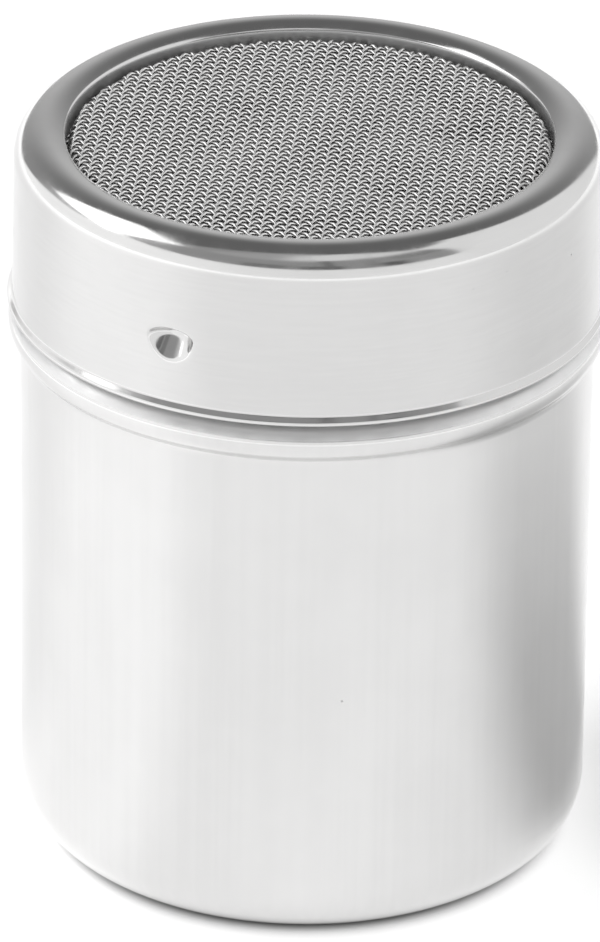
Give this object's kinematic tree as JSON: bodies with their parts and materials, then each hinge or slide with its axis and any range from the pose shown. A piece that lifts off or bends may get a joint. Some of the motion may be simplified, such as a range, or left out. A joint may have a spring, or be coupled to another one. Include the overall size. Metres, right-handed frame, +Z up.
{
  "type": "mesh-top spice shaker",
  "caption": "Round steel spice shaker: drawn can with a stop bead and a twist-lock lid ring that holds a dished woven wire mesh.",
  "frame": {"origin": "centre of the can's base, on the surface the shaker stands on", "axes": "+Z up along the shaker's axis, towards the mesh; -Y towards the front, and the first lid dimple is 27 degrees to the left of it"},
  "size_m": [0.0704, 0.0704, 0.0902],
  "materials": {
    "can_steel": "bright drawn stainless steel with faint upright draw lines",
    "lid_steel": "bright pressed stainless steel",
    "ring_steel": "plain pressed stainless steel",
    "mesh_wire": "drawn stainless steel wire"
  },
  "bodies": {
    "can": {"can": "can_steel"},
    "lid_lifter": {"mesh_retaining_ring": "ring_steel"},
    "lid": {"lid_shell": "lid_steel", "mesh_warp_wires": "mesh_wire", "mesh_weft_wires": "mesh_wire"}
  },
  "joints": [
    {"name": "lid_lift", "type": "slide", "parent": "can", "child": "lid_lifter", "axis": [0, 0, 1], "range_m": [0, 0.033]},
    {"name": "lid_turn", "type": "hinge", "parent": "lid_lifter", "child": "lid", "pos_m": [0, 0, 0], "axis": [0, 0, 1], "range_deg": [0, 270]}
  ],
  "couplings": [
    {"joint": "lid_lift", "follows": "lid_turn", "m_per_rad": 0.0070028}
  ]
}
